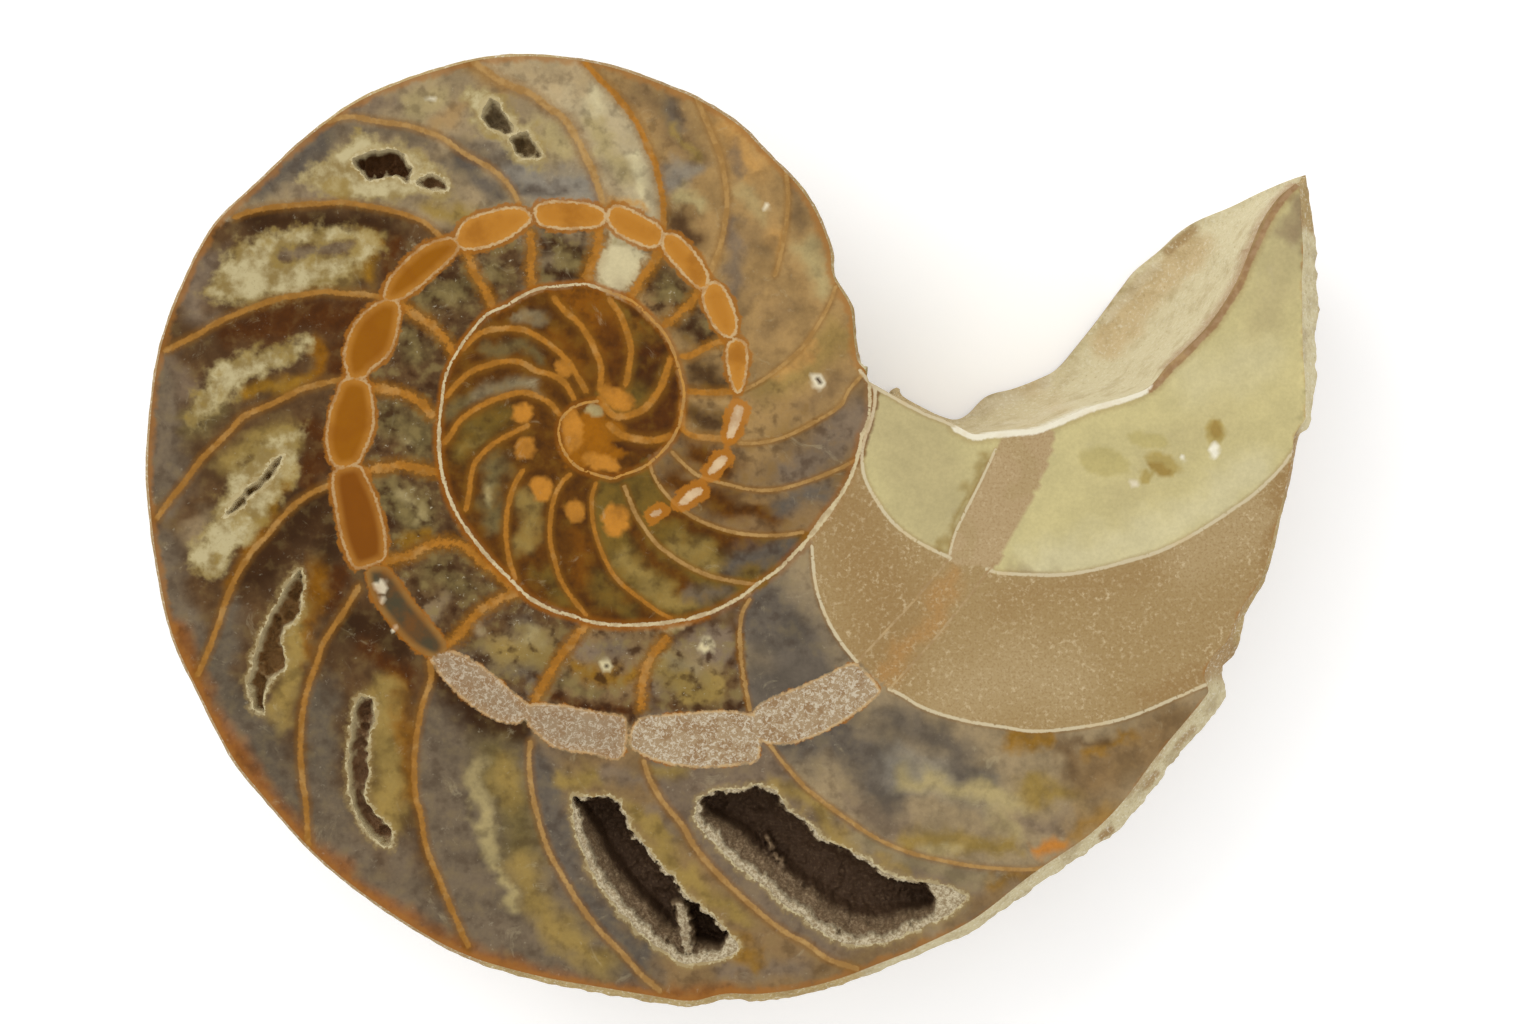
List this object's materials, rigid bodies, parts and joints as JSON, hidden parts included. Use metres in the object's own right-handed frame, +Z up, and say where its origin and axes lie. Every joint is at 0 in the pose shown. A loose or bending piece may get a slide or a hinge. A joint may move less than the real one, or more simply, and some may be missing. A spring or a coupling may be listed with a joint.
{
  "type": "fossil nautilus shell half",
  "caption": "Halved and polished fossil nautilus: a coil of stone chambers with crystal-lined hollows, lying on its worn back with the sawn face up.",
  "frame": {"origin": "on the surface it rests on, under the middle of its bounding box", "axes": "+Z up, out of the polished face; +X along the long way, towards the open end of the coil; +Y towards the open notch between the coil and the tip"},
  "size_m": [0.1, 0.0811, 0.022],
  "materials": {
    "fossil_stone": "polished",
    "crystal": "rough"
  },
  "bodies": {
    "root": {"fossil_half": "fossil_stone", "crystal_crust_large": "crystal", "crystal_crust_small": "crystal"}
  },
  "joints": []
}
